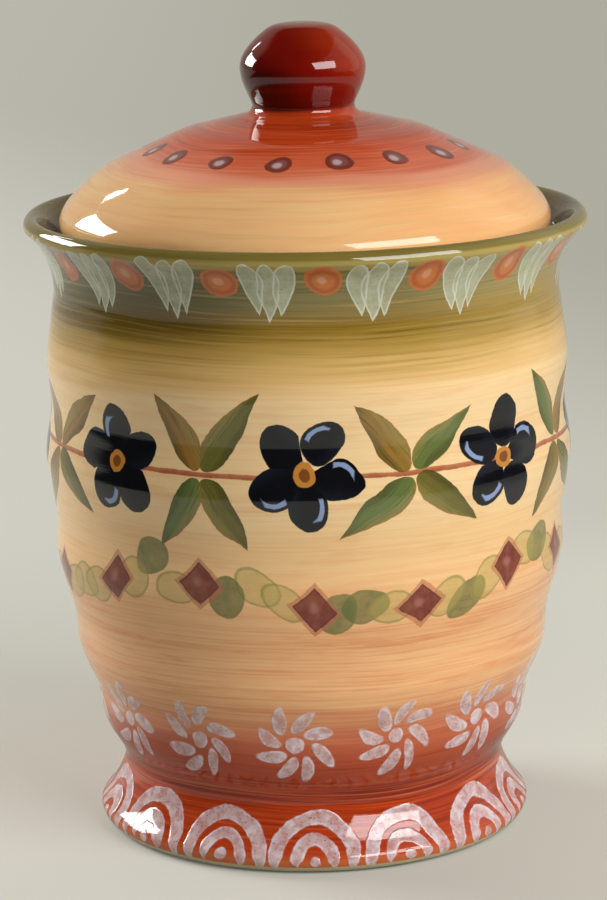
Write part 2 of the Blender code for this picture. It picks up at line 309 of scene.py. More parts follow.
def cad_outline(node):
    """The node's outline as (radius, height) points in order, and whether it is a closed ring."""
    mesh = bmesh.new()
    mesh.from_mesh(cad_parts[node].data)
    bmesh.ops.remove_doubles(mesh, verts=mesh.verts, dist=WELD)
    column = {v for v in mesh.verts if abs(v.co.y) < 2 * WELD and v.co.x > -2 * WELD}
    links = {v: [e.other_vert(v) for e in v.link_edges if e.other_vert(v) in column] for v in column}
    ends = sorted((v for v in column if len(links[v]) == 1), key=lambda v: (v.co.z, v.co.x))
    here = ends[0] if ends else min(column, key=lambda v: (v.co.z, v.co.x))
    ordered, before = [here], None
    while True:
        onward = [v for v in links[here] if v is not before and v not in ordered]
        if not onward:
            break
        before, here = here, onward[0]
        ordered.append(here)
    points = [(v.co.x, v.co.z) for v in ordered]
    mesh.free()
    if not ends:
        return points, True
    if points[0][0] > WELD:
        points.insert(0, (0.0, points[0][1]))
    if points[-1][0] > WELD:
        points.append((0.0, points[-1][1]))
    return points, False


def turn_at(before, point, after):
    """How far an outline turns at a point, in degrees."""
    a = math.atan2(point[1] - before[1], point[0] - before[0])
    b = math.atan2(after[1] - point[1], after[0] - point[0])
    return abs(math.degrees((b - a + math.pi) % (2 * math.pi) - math.pi))


def towards(start, end, distance):
    """The point at that distance from start on the way to end."""
    length = math.dist(start, end)
    return tuple(a + (b - a) * distance / length for a, b in zip(start, end))


def rounded(before, corner, after):
    """A corner replaced by a short curve."""
    nearest = min(math.dist(before, corner), math.dist(corner, after))
    reach = min(EDGE_ROUNDING, ROUNDING_SHARE * nearest)
    start, end = towards(corner, before, reach), towards(corner, after, reach)
    curve = []
    for step in range(ROUNDING_STEPS + 1):
        t = step / ROUNDING_STEPS
        shares = ((1 - t) ** 2, 2 * t * (1 - t), t ** 2)
        curve.append(tuple(
            sum(share * value for share, value in zip(shares, values))
            for values in zip(start, corner, end)
        ))
    return curve


def curve_through(points):
    """Closely spaced points on a centripetal Catmull-Rom curve through the given ones."""
    if len(points) < 3:
        return list(points)
    ends = [
        tuple(2 * a - b for a, b in zip(points[0], points[1])),
        tuple(2 * a - b for a, b in zip(points[-1], points[-2])),
    ]
    if points[0][0] < WELD:
        ends[0] = (-points[1][0], points[1][1])
    if points[-1][0] < WELD:
        ends[1] = (-points[-2][0], points[-2][1])
    knots = [Vector(p) for p in (ends[0], *points, ends[1])]
    curve = []
    for a, b, c, d in zip(knots, knots[1:], knots[2:], knots[3:]):
        t1 = math.sqrt((b - a).length)
        t2 = t1 + math.sqrt((c - b).length)
        t3 = t2 + math.sqrt((d - c).length)
        steps = max(1, math.ceil((c - b).length / POINT_SPACING))
        for step in range(steps):
            t = t1 + (t2 - t1) * step / steps
            ab = a.lerp(b, t / t1)
            bc = b.lerp(c, (t - t1) / (t2 - t1))
            cd = c.lerp(d, (t - t2) / (t3 - t2))
            abc = ab.lerp(bc, t / t2)
            bcd = bc.lerp(cd, (t - t1) / (t3 - t1))
            curve.append(tuple(abc.lerp(bcd, (t - t1) / (t2 - t1))))
    return curve + [tuple(points[-1])]


def fine_outline(points, ring):
    """The outline with its edges rounded, and with smooth curves between them."""
    count = len(points)
    runs, run = [], []
    for i, point in enumerate(points):
        inner = ring or 0 < i < count - 1
        before, after = points[i - 1], points[(i + 1) % count]
        if inner and turn_at(before, point, after) > CORNER_ANGLE:
            bend = rounded(before, point, after)
            runs += [run + [bend[0]], bend]
            run = [bend[-1]]
        else:
            run.append(point)
    runs.append(run + ([points[0]] if ring and len(runs) == 0 else []))
    widest = max(radius for radius, _ in points)
    lowest = min(height for _, height in points)
    highest = max(height for _, height in points)
    fine = []
    for run in runs:
        for radius, height in curve_through(run):
            point = (min(widest, radius), min(highest, max(lowest, height)))
            if not fine or math.dist(point, fine[-1]) > POINT_APART:
                fine.append(point)
    if ring and math.dist(fine[0], fine[-1]) < POINT_APART:
        fine.pop()
    return fine


def strayed(radius, height, angle, amount):
    """A radius drawn in a little, unevenly, as on a thrown pot."""
    across = Vector((math.cos(angle), math.sin(angle), 0.0))
    share = 0.5
    for seed, around, upward, strength in WOBBLE_WAVES:
        share += strength * field.noise(across * around + Vector((seed, 0.0, height * upward)))
    return radius - amount * min(1.0, max(0.0, share))


def turned(name, outline, sides, materials, zones, ring, stray):
    """A mesh turned about Z from an outline. zones gives the material of the band after each point."""
    mesh = bmesh.new()
    rows = []
    for radius, height in outline:
        if radius < WELD:
            rows.append([mesh.verts.new((0.0, 0.0, height))])
            continue
        amount = stray if FOOT_CLEAR < height < NECK_CLEAR else 0.0
        row = []
        for side in range(sides):
            angle = 2 * math.pi * side / sides
            r = strayed(radius, height, angle, amount) if amount else radius
            row.append(mesh.verts.new((r * math.cos(angle), r * math.sin(angle), height)))
        rows.append(row)
    pairs = list(zip(rows, rows[1:]))
    if ring:
        pairs.append((rows[-1], rows[0]))
    for (low, high), zone in zip(pairs, zones):
        for side in range(sides):
            after = (side + 1) % sides
            corners = []
            for row, place in ((low, side), (low, after), (high, after), (high, side)):
                vertex = row[place % len(row)]
                if vertex not in corners:
                    corners.append(vertex)
            face = mesh.faces.new(corners)
            face.smooth = True
            face.material_index = zone
    bmesh.ops.recalc_face_normals(mesh, faces=mesh.faces)
    data = bpy.data.meshes.new(name)
    mesh.to_mesh(data)
    mesh.free()
    for material in materials:
        data.materials.append(material)
    piece = bpy.data.objects.new(name, data)
    bpy.context.scene.collection.objects.link(piece)
    return piece


# Painting with nodes

class Term:
    """A number that a node makes. Sums and products of terms make more nodes."""

    def __init__(self, nodes, socket):
        self.nodes = nodes
        self.socket = socket

    def __add__(self, other):
        return self.nodes.math("ADD", self, other)

    def __sub__(self, other):
        return self.nodes.math("SUBTRACT", self, other)

    def __rsub__(self, other):
        return self.nodes.math("SUBTRACT", other, self)

    def __mul__(self, other):
        return self.nodes.math("MULTIPLY", self, other)

    def __truediv__(self, other):
        return self.nodes.math("DIVIDE", self, other)

    def __abs__(self):
        return self.nodes.math("ABSOLUTE", self)

    __radd__ = __add__
    __rmul__ = __mul__


class Nodes:
    """Makes the nodes of a tree. A value is a plain one, a term or another node's socket."""

    def __init__(self, tree):
        self.tree = tree

    def plug(self, socket, value):
        if isinstance(value, Term):
            value = value.socket
        if isinstance(value, bpy.types.NodeSocket):
            self.tree.links.new(value, socket)
        else:
            socket.default_value = value

    def node(self, kind, *values, operation=None, **inputs):
        """A node with its first sockets filled in order, and others by name."""
        node = self.tree.nodes.new("ShaderNode" + kind)
        if operation:
            node.operation = operation
        for socket, value in zip(node.inputs, values):
            self.plug(socket, value)
        for name, value in inputs.items():
            self.plug(node.inputs[name.replace("_", " ")], value)
        return node

    def math(self, operation, *values):
        return Term(self, self.node("Math", *values, operation=operation).outputs[0])

    def vector(self, operation, *values, **inputs):
        return self.node("VectorMath", *values, operation=operation, **inputs).outputs[0]

    def parts(self, vector):
        return [Term(self, output) for output in self.node("SeparateXYZ", vector).outputs]

    def whole(self, x, y, z):
        return self.node("CombineXYZ", x, y, z).outputs[0]

    def least(self, a, b):
        return self.math("MINIMUM", a, b)

    def most(self, a, b):
        return self.math("MAXIMUM", a, b)

    def length(self, a, b):
        return self.math("SQRT", a * a + b * b)

    def ramp(self, value, start, end):
        """0 up to start and 1 from end on, smooth between them; start may be the larger."""
        node = self.node("MapRange", Value=value, From_Min=start, From_Max=end)
        node.interpolation_type = "SMOOTHSTEP"
        return Term(self, node.outputs[0])

    def over(self, base, colour, cover):
        """Colour laid over a base colour, as thickly as cover says. Plain colours are sRGB."""
        node = self.node("Mix", cover)
        node.data_type = "RGBA"
        for socket, value in zip((node.inputs[6], node.inputs[7]), (base, colour)):
            self.plug(socket, (*linear(value), 1.0) if isinstance(value, tuple) else value)
        return node.outputs[2]

    def rays(self):
        """1 for what the lens sees, and 1 for what a glaze mirrors."""
        outputs = self.node("LightPath").outputs
        return Term(self, outputs["Is Camera Ray"]), Term(self, outputs["Is Glossy Ray"])


class Paint(Nodes):
    """A glaze's node tree. Its patterns work in millimetres."""

    def __init__(self, name, roughness=GLAZE_ROUGHNESS):
        self.material = bpy.data.materials.new(name)
        self.material.use_nodes = True
        super().__init__(self.material.node_tree)
        self.shader = self.tree.nodes["Principled BSDF"]
        self.shader.inputs["Roughness"].default_value = roughness
        place = self.node("TexCoord").outputs["Object"]
        self.point = self.vector("SCALE", place, Scale=1 / MM)
        self.x, self.y, self.z = self.parts(self.point)
        self.angle = self.math("ARCTAN2", self.x, 0.0 - self.y)
        self.radius = self.length(self.x, self.y)

    def noise(self, stretch, detail=2.0, roughness=0.5, shift=0.0, point=None):
        """Noise from 0 to 1 whose grain is stretch = (x, y, z) millimetres long, also as a vector."""
        grain = self.vector("MULTIPLY", point or self.point, tuple(1 / s for s in stretch))
        place = self.vector("ADD", grain, (shift, shift, shift))
        node = self.node("TexNoise", Vector=place, Scale=1.0, Detail=detail, Roughness=roughness)
        return Term(self, node.outputs["Fac"]), node.outputs["Color"]

    def chance(self, *seeds):
        """Three random numbers from 0 to 1 that stay the same wherever the seeds do."""
        node = self.node("TexWhiteNoise", Vector=self.whole(*seeds))
        node.noise_dimensions = "3D"
        return self.parts(node.outputs["Color"])

    def finish(self, colour, height=None):
        """The material in that colour, raised by height, a share of RELIEF."""
        self.plug(self.shader.inputs["Base Color"], colour)
        if height is not None:
            bump = self.node("Bump", Height=height, Distance=RELIEF)
            self.plug(self.shader.inputs["Normal"], bump.outputs[0])
        return self.material


def streaks(paint):
    """Marks of a broad brush held against the turning pot: fine and broad ones, from 0 to 1."""
    slow, _ = paint.noise(STREAK_DRIFT, detail=1.0, shift=3.0)
    level = paint.whole(paint.x, paint.y, paint.z + slow * STREAK_RISE)
    fine, _ = paint.noise(FINE_STREAK, detail=3.0, roughness=0.6, shift=11.0, point=level)
    broad, _ = paint.noise(BROAD_STREAK, detail=2.0, shift=27.0, point=level)
    return fine, broad


def wash(paint, colour, pigment, place, start, end, grain, thick):
    """A band of colour that begins softly, in streaks where it is thin."""
    cover = paint.ramp(place, start, end)
    thin = cover * (1.0 - cover) * (grain - 0.5) * STREAK_STRENGTH
    return paint.over(colour, pigment, (cover + thin) * thick)


def tinted(paint, colour, pigment, value, start, end, thick):
    """A tint that grows from none where value is start to thick where it is end."""
    return paint.over(colour, pigment, paint.ramp(value, start, end) * thick)


class Hand:
    """What makes painted marks uneven: a wandering line, a rough edge and paint that is thin in spots."""

    def __init__(self, paint):
        self.paint = paint
        _, wander = paint.noise(WANDER_GRAIN, detail=1.0, shift=41.0)
        _, rough = paint.noise(ROUGH_GRAIN, detail=1.0, shift=53.0)
        wander = [(part - 0.5) * WANDER for part in paint.parts(wander)]
        rough = [(part - 0.5) * ROUGH for part in paint.parts(rough)]
        self.across = wander[0] + rough[0]
        self.up = wander[2] + rough[2]
        self.blotch, _ = paint.noise(BLOTCH_GRAIN, detail=3.0, roughness=0.65, shift=71.0)
        self.speck, _ = paint.noise(SPECK_GRAIN, roughness=0.6, shift=83.0)

    def row(self, count, radius, middle, seed, turn=0.0, jitter=1.2):
        """One cell of a motif that repeats round the pot: its number, where in it a point lies, in
        millimetres from its middle, and three random numbers for it."""
        paint = self.paint
        turns = paint.angle * (count / (2 * math.pi)) + (turn + 0.5)
        whole = paint.math("FLOOR", turns)
        cell = paint.math("FLOORED_MODULO", whole, float(count))
        chance = paint.chance(cell, seed, 0.5)
        across = (turns - whole - 0.5) * (2 * math.pi * radius / count)
        across = across + self.across + (chance[0] - 0.5) * jitter
        up = paint.z - middle + self.up + (chance[1] - 0.5) * jitter
        return cell, across, up, chance


def strokes_round(paint, cell, across, up, out, turn, count, seed):
    """Strokes that stand round the middle of a cell: where a point lies along and beside its stroke,
    and three random numbers for the stroke. out is the point's distance, and turn is in radians."""
    strokes = (paint.math("ARCTAN2", up, across) + turn) * (count / (2 * math.pi))
    whole = paint.math("FLOOR", strokes)
    own = paint.chance(cell, paint.math("FLOORED_MODULO", whole, float(count)), seed)
    aslant = (strokes - whole - 0.5) * (2 * math.pi / count)
    return out * paint.math("COSINE", aslant), out * paint.math("SINE", aslant), own


def turned_by(paint, across, up, angle):
    """A place in axes turned by an angle in radians, which may be a term."""
    if isinstance(angle, Term):
        c, s = paint.math("COSINE", angle), paint.math("SINE", angle)
    else:
        c, s = math.cos(angle), math.sin(angle)
    return across * c + up * s, up * c - across * s


def disc(paint, across, up, length, width):
    """How deep a place lies in an ellipse with those axes, in millimetres."""
    small = min(length, width) / 2
    return small - paint.length(across * (2 * small / length), up * (2 * small / width))


def pointed(paint, along, aside, length, width):
    """How deep a place lies in a brush stroke that is round at its start and pointed at its tip."""
    share = along / length
    half = paint.math("SQRT", paint.most(share, 0.0)) * (1.0 - share) * (width / STROKE_BULGE)
    return half - abs(aside)


def painted(paint, colour, depth, pigment, soft=0.3, thick=1.0):
    """A mark over a colour: depth says how far inside it a place lies."""
    return paint.over(colour, pigment, paint.ramp(depth, 0.0, soft) * thick)


def ringed(paint, depth, middle, half):
    """A line along a mark's edge: 1 at the depth middle, fading to 0 within half on both sides."""
    return paint.ramp(abs(depth - middle), half, 0.0)


def stem_stripe(paint, hand, colour):
    """The thin line round the belly, heavier along its lower edge."""
    up = paint.z - STRIPE_HEIGHT + hand.up * 0.3
    depth = STRIPE_HALF + (hand.blotch - 0.5) * 0.6 - abs(up)
    tone = paint.over(STRIPE, STRIPE_PALE, paint.ramp(up, -0.4, 0.7) * 0.6)
    return painted(paint, colour, depth, tone, soft=0.35, thick=0.7 + hand.blotch * 0.4)


def leaf_crosses(paint, hand, colour):
    """Four leaves from one point of the stripe, between two flowers."""
    cell, across, up, _ = hand.row(FLOWERS, BELLY_RADIUS, STRIPE_HEIGHT, turn=0.5, seed=2.0)
    right, top = paint.math("SIGN", across), paint.math("SIGN", up)
    own = paint.chance(cell + right * 0.23, top, 7.5)
    lean = LEAF_LEAN + (own[0] - 0.5) * 0.46
    along, aside = turned_by(paint, abs(across) - LEAF_ASIDE, abs(up) - LEAF_OFF_STRIPE, lean)
    length = LEAF_LENGTH + (own[1] - 0.5) * 5.0
    share = along / length
    aside = aside + share * share * (1.0 + own[1] * 4.5)
    depth = pointed(paint, along, aside, length, LEAF_WIDTH)
    place = paint.whole(along, aside, cell * 9.0 + top * 2.0 + right)
    bristles, _ = paint.noise(BRISTLE_GRAIN, roughness=0.55, point=place)
    uneven = bristles - 0.5
    tone = tinted(paint, LEAF_GREEN, LEAF_FRESH, own[2], 0.3, 0.12, 0.55)
    tone = tinted(paint, tone, LEAF_OCHRE, own[2] + uneven * 0.8, 0.5, 0.95, 0.85)
    tone = tinted(paint, tone, LEAF_PALE, aside + uneven * 5.0, 0.2, 2.6, 0.42)
    tone = tinted(paint, tone, LEAF_DARK, bristles, 0.48, 0.28, 0.5)
    tone = tinted(paint, tone, LEAF_DARK, aside + uneven * 2.0, -1.2, -3.2, 0.5)
    rim = ringed(paint, depth, 0.45, 0.55)
    tone = tinted(paint, tone, LEAF_OCHRE, aside, -0.6, 0.6, rim * 0.7)
    rim = paint.ramp(depth, 0.5, 0.1)
    tone = tinted(paint, tone, LEAF_DARK, aside, 0.4, -0.6, rim * 0.5)
    tone = tinted(paint, tone, LEAF_DARK, share, 0.65, 1.0, 0.45)
    return painted(paint, colour, depth, tone, soft=0.25, thick=0.97)


def dark_flowers(paint, hand, colour):
    """Five broad dabs round an ochre eye, on the stripe, with a painted blue sheen along one side and the
    inner edge of each dab.
    """
    cell, across, up, chance = hand.row(FLOWERS, BELLY_RADIUS, STRIPE_HEIGHT, seed=3.0, jitter=2.4)
    out = paint.length(across, up)
    turn = (chance[2] - 0.5) * 1.2 + PETAL_TURN
    along, aside, own = strokes_round(paint, cell, across, up, out, turn, PETALS, 3.5)
    along = along - PETAL_REACH - (own[0] - 0.5) * 1.8
    depth = disc(paint, along, aside, PETAL_LENGTH, PETAL_WIDTH) + (own[1] - 0.5) * 0.9
    # painted blue sheen along one side of each dab
    tone = tinted(paint, INK, INK_BLUE, 0.0 - aside, 1.0, 6.0, 0.7)
    tone = tinted(paint, tone, INK_BLUE, hand.blotch, 0.55, 0.75, 0.3)
    # painted blue sheen along the dab's edge, towards the eye
    tone = tinted(paint, tone, INK_BLUE, along, 1.0, -3.0, ringed(paint, depth, 0.3, 0.5) * 0.7)
    glint = paint.least(GLINT_HALF - abs(depth - GLINT_DEPTH), (aside - 0.4) * 0.6)
    glint = paint.least(glint, (GLINT_REACH - abs(along - GLINT_ALONG)) * 0.4)
    tone = painted(paint, tone, glint, INK_LIGHT, soft=0.3, thick=paint.ramp(own[2], 0.25, 0.4) * 0.85)
    colour = painted(paint, colour, depth, tone, soft=0.25)
    eye = EYE_RADIUS - out + (hand.blotch - 0.5) * 1.2
    colour = painted(paint, colour, eye, EYE_OCHRE)
    return painted(paint, colour, eye - EYE_RING, EYE_DARK, thick=0.85)


def garland(paint, hand, colour):
    """Maroon lozenges over thin sage ovals, on a line that rises and falls."""
    wave = paint.math("SINE", paint.angle * GARLAND_WAVES + GARLAND_TURN) * GARLAND_SWING
    for count, seed, scatter, pale in OVAL_ROWS:
        _, across, up, chance = hand.row(count, GARLAND_RADIUS, GARLAND_HEIGHT, seed, turn=0.5, jitter=1.6)
        lean = (chance[2] - 0.5) * 2.4
        along, aside = turned_by(paint, across, up + wave + (chance[1] - 0.5) * scatter, lean)
        depth = disc(paint, along, aside, OVAL_LENGTH, OVAL_WIDTH)
        green = paint.ramp(chance[2], pale, pale + 0.02)
        thin = 0.5 + green * 0.32 + (hand.blotch - 0.5) * 0.5
        colour = painted(paint, colour, depth, paint.over(SAGE, SAGE_GREEN, green), thick=thin)
        colour = paint.over(colour, SAGE_EDGE, ringed(paint, depth, 0.5, 0.6) * 0.55)
    _, across, up, _ = hand.row(GARLAND_CELLS, GARLAND_RADIUS, GARLAND_HEIGHT, seed=5.5, jitter=2.4)
    up = up + wave
    lozenge = LOZENGE_REACH - (abs(across) + abs(up)) + (hand.blotch - 0.5) * 0.8
    colour = painted(paint, colour, lozenge, LOZENGE_EDGE, thick=0.62)
    core = lozenge - LOZENGE_RIM + (hand.across + hand.up) * 0.25
    colour = painted(paint, colour, core, MAROON, thick=0.92 + (hand.blotch - 0.5) * 0.5)
    colour = paint.over(colour, MAROON_DARK, ringed(paint, core, 0.4, 0.6) * 0.6)
    shine = LOZENGE_SHINE - paint.length(across + 0.6, up - 0.8)
    return painted(paint, colour, shine, MAUVE, soft=2.2, thick=0.62)


def slip_marks(paint, hand, colour, depth):
    """White slip, and how thickly it lies: thin in patches, where the red shows through, thick along its
    edges, with dark pinholes."""
    mottle, _ = paint.noise(SLIP_GRAIN, detail=3.0, roughness=0.6, shift=19.0)
    tone = paint.over(SLIP_THIN, SLIP, paint.ramp(mottle, 0.34, 0.56))
    tone = tinted(paint, tone, SLIP_EDGE, hand.blotch, 0.47, 0.66, 0.7)
    tone = tinted(paint, tone, SLIP_EDGE, mottle, 0.4, 0.6, ringed(paint, depth, 0.5, 0.6) * 0.8)
    holes = paint.ramp(hand.speck, 0.4, 0.31) * paint.ramp(depth, 0.4, 1.1)
    tone = tinted(paint, tone, SLIP_SPECK, mottle, 0.6, 0.5, holes * 0.9)
    cover = paint.ramp(depth, 0.0, 0.5)
    return paint.over(colour, tone, cover * (0.84 + (mottle - 0.5) * 0.6)), cover


def daisies(paint, hand):
    """Slip flowers above the waist: comma strokes round a dot."""
    cell, across, up, chance = hand.row(
        DAISIES, DAISY_RADIUS, DAISY_HEIGHT, turn=0.2, seed=5.0, jitter=2.6)
    out = paint.length(across, up)
    turn = chance[2] * 2.0 + out * 0.05
    along, aside, own = strokes_round(paint, cell, across, up, out, turn, DAISY_STROKES, 5.5)
    along = along - DAISY_REACH - (own[0] - 0.5) * 1.4
    aside = aside + (own[1] - 0.5) * 0.8
    return paint.most(disc(paint, along, aside, DAISY_STROKE_LENGTH, DAISY_STROKE_WIDTH), DAISY_EYE - out)


def arches(paint, hand):
    """Slip arches on the foot: a bold one over a small one, and a dot."""
    _, across, up, _ = hand.row(ARCHES, ARCH_RADIUS, ARCH_HEIGHT, seed=6.0, jitter=1.8)
    out = paint.length(across, up)
    taper = paint.ramp(up / out, -0.65, 0.2)
    bold = (BOLD_HALF + (hand.blotch - 0.5) * 1.0) * taper - abs(out - BOLD_ARCH)
    small = (SMALL_HALF + (hand.blotch - 0.5) * 0.8) * taper - abs(out - SMALL_ARCH)
    return paint.most(paint.most(bold, small), ARCH_DOT - out)


def lip_dots(paint, hand, colour):
    """Ochre dots under the lip, each with a ring and a pale middle."""
    height = TULIP_TOP - LIP_DOT_DROP
    _, across, up, _ = hand.row(TULIPS, TULIP_RADIUS, height, turn=0.85, seed=8.0, jitter=1.6)
    dot = LIP_DOT_RADIUS + (hand.blotch - 0.5) * 0.8 - paint.length(across * 0.92, up)
    colour = painted(paint, colour, dot, DOT_OCHRE, soft=0.5, thick=0.8 + (hand.blotch - 0.5) * 0.6)
    colour = paint.over(colour, DOT_RUST, ringed(paint, dot, 1.6, 1.3) * 0.6)
    shine = LIP_DOT_SHINE - paint.length(across + 0.4, up - 0.4)
    return painted(paint, colour, shine, DOT_PINK, soft=1.0, thick=0.7)


def tulips(paint, hand, colour):
    """Pale three-stroke tulips that hang from the lip, between the dots."""
    _, across, up, _ = hand.row(TULIPS, TULIP_RADIUS, TULIP_TOP, turn=0.35, seed=7.0, jitter=1.4)
    down = 1.2 - up
    stem = pointed(paint, down, across, TULIP_LENGTH, TULIP_WIDTH)
    along, aside = turned_by(paint, TULIP_SIDE_START - abs(across), down, TULIP_SIDE_LEAN)
    bend = along * (9.0 - along) * 0.012
    side = pointed(paint, along, aside + bend, TULIP_SIDE_LENGTH, TULIP_SIDE_WIDTH)
    depth = paint.most(stem, side)
    stem_edge = ringed(paint, stem, 0.35, 0.6) * paint.ramp(side, 2.6, 1.8)
    edges = paint.most(stem_edge, ringed(paint, side, 0.35, 0.6))
    cover = paint.ramp(depth, 0.0, 0.35) * (0.66 + (hand.blotch - 0.45) * 1.2)
    cover = cover * paint.ramp(hand.speck, 0.27, 0.36)
    colour = paint.over(colour, PALE_SAGE, cover)
    return paint.over(colour, SAGE_WHITE, edges * paint.ramp(depth, 0.0, 0.2) * 0.62)


def cream_wall(paint, low, fine, broad):
    """Cream with a paler band over the belly and peach below it, in streaks and patches."""
    middle = paint.z + (broad - 0.5) * 12.0
    pale = paint.ramp(middle, *PALE_FROM) * paint.ramp(middle, *PALE_TO)
    colour = paint.over(CREAM, CREAM_PALE, pale)
    colour = tinted(paint, colour, TAN, fine, 0.42, 0.8, 0.36)
    colour = tinted(paint, colour, TAN, broad, 0.5, 0.8, 0.34)
    colour = tinted(paint, colour, BLUSH, broad, 0.56, 0.72, paint.ramp(fine, 0.4, 0.6) * 0.22)
    colour = wash(paint, colour, PEACH, low, *PEACH_BAND, fine, 0.8)
    belly = paint.ramp(low, *BELLY_BAND)
    colour = tinted(paint, colour, PEACH_DARK, fine, 0.46, 0.66, belly * 0.46)
    colour = tinted(paint, colour, PEACH_PALE, fine, 0.46, 0.3, belly * 0.46)
    patch, _ = paint.noise(JAR_PATCH, detail=3.0, roughness=0.6, shift=61.0)
    colour = tinted(paint, colour, PEACH_DARK, patch, 0.53, 0.68, 0.16 + belly * 0.2)
    return tinted(paint, colour, PEACH_PALE, patch, 0.47, 0.32, 0.3)


def red_foot(paint, colour, low, fine):
    """Terracotta from under the belly down, darkest in the waist and orange at the foot's edge."""
    for pigment, start, end, thick in FOOT_WASHES:
        colour = wash(paint, colour, pigment, low, start, end, fine, thick)
    colour = wash(paint, colour, FOOT_RED, paint.z, *RED_FOOT, fine, 0.9)
    colour = tinted(paint, colour, RED_BROWN, fine, 0.5, 0.66, paint.ramp(paint.z, *DARK_FOOT) * 0.52)
    colour = tinted(paint, colour, ORANGE, fine, 0.46, 0.3, paint.ramp(paint.z, *ORANGE_FOOT) * 0.6)
    waist = paint.ramp(abs(paint.z - WAIST_HEIGHT), *WAIST_BAND)
    colour = tinted(paint, colour, RED_BROWN, fine, 0.44, 0.58, waist * 0.65)
    return wash(paint, colour, ORANGE, paint.z, *ORANGE_EDGE, fine, 0.85)


def olive_lip(paint, colour, high, fine, broad):
    """Honey to olive from the shoulder up, with painted shade on the left and painted light on the right,
    an ochre crest where the glaze breaks and painted light stands for the rolled bead, and painted shade
    along the rim next to the lid.
    """
    for pigment, start, end, thick in SHOULDER_WASHES:
        colour = wash(paint, colour, pigment, high, start, end, fine, thick)
    colour = tinted(paint, colour, UMBER, fine, 0.5, 0.7, paint.ramp(high, *SHOULDER_BAND) * 0.2)
    band = paint.ramp(high, *OLIVE_BAND)
    # painted shade on the left of the olive band and painted light on its right
    colour = tinted(paint, colour, OLIVE_DEEP, paint.x, *OLIVE_PAINTED_SHADE_LEFT, band * 0.5)
    colour = tinted(paint, colour, OLIVE_PALE, paint.x, *OLIVE_PAINTED_LIGHT_RIGHT, band * 0.34)
    colour = tinted(paint, colour, OLIVE_PALE, fine, 0.48, 0.3, band * 0.3)
    colour = tinted(paint, colour, OLIVE_DEEP, fine, 0.54, 0.72, band * 0.34)
    crest = paint.z + (broad - 0.5) * 1.5
    # ochre where the glaze breaks at the lip, and painted light that stands for the rolled bead
    colour = tinted(paint, colour, RIM_OCHRE, crest, *CREST_BAND, 0.62 + (fine - 0.5) * 1.6)
    # painted shade along the top of the rim, next to the lid's edge
    return tinted(paint, colour, RIM_PAINTED_SHADE, paint.z + (broad - 0.5) * 1.2, *RIM_SHADE_BAND, 0.72)


def jar_glaze():
    """Washes from olive at the lip through cream to terracotta at the foot, with the painted rows."""
    paint = Paint("jar_glaze")
    fine, broad = streaks(paint)
    high = paint.z - paint.least(paint.x, 0.0) * 0.06 + (broad - 0.5) * 8.0
    low = paint.z - paint.least(paint.x, 0.0) * 0.03 + (broad - 0.5) * 14.0
    colour = cream_wall(paint, low, fine, broad)
    colour = red_foot(paint, colour, low, fine)
    colour = olive_lip(paint, colour, high, fine, broad)

    hand = Hand(paint)
    for row in (stem_stripe, leaf_crosses, dark_flowers, garland, lip_dots, tulips):
        colour = row(paint, hand, colour)
    marks = paint.most(daisies(paint, hand), arches(paint, hand))
    colour, slip = slip_marks(paint, hand, colour, marks)
    colour = paint.over(colour, CLAY_LINE, paint.ramp(paint.z + (fine - 0.5) * 0.8, *CLAY_BAND))
    # painted shade at the very foot, standing for the contact shadow on the table
    colour = tinted(paint, colour, CLAY_PAINTED_SHADE, paint.z, *PAINTED_CONTACT_SHADE_BAND, 0.8)
    return paint.finish(colour, fine * 0.1 + slip * 0.5)


def mouth_glaze():
    """Olive from the crest of the lip inwards, with painted shade along the rim next to the lid and deeper
    painted shade down into the mouth.
    """
    paint = Paint("mouth_glaze")
    fine, broad = streaks(paint)
    # painted shade along the rim next to the lid, and painted shade deepening down into the mouth
    colour = tinted(paint, OLIVE, RIM_PAINTED_SHADE, paint.z + (broad - 0.5) * 1.5, *MOUTH_RIM_SHADE, 0.72)
    colour = tinted(paint, colour, MOUTH_OLIVE_SHADE, paint.z + (broad - 0.5) * 2.0, *MOUTH_PAINTED_SHADE, 0.75)
    colour = tinted(paint, colour, OLIVE_GOLD, fine, 0.5, 0.7, 0.35)
    return paint.finish(colour, fine * 0.1)


def lid_dots(paint, hand, colour):
    """A ring of brown dots with pale middles, and how deep a place lies in one."""
    _, across, _, chance = hand.row(LID_DOTS, LID_DOTS_RADIUS, 0.0, turn=0.4, seed=9.0, jitter=1.5)
    up = paint.radius - LID_DOTS_RADIUS + hand.across * 0.3 + (chance[1] - 0.5) * 1.5
    dot = LID_DOT_RADIUS + (chance[2] - 0.5) * 0.8 - paint.length(across, up)
    colour = painted(paint, colour, dot, DOT_BROWN, soft=0.5, thick=0.85)
    colour = painted(paint, colour, dot - LID_DOT_RIM, DOT_HAZE, soft=0.8, thick=0.6)
    shine = LID_DOT_SHINE - paint.length(across + 0.5, up - 0.4)
    return painted(paint, colour, shine, DOT_MAUVE, soft=1.1, thick=0.9), dot


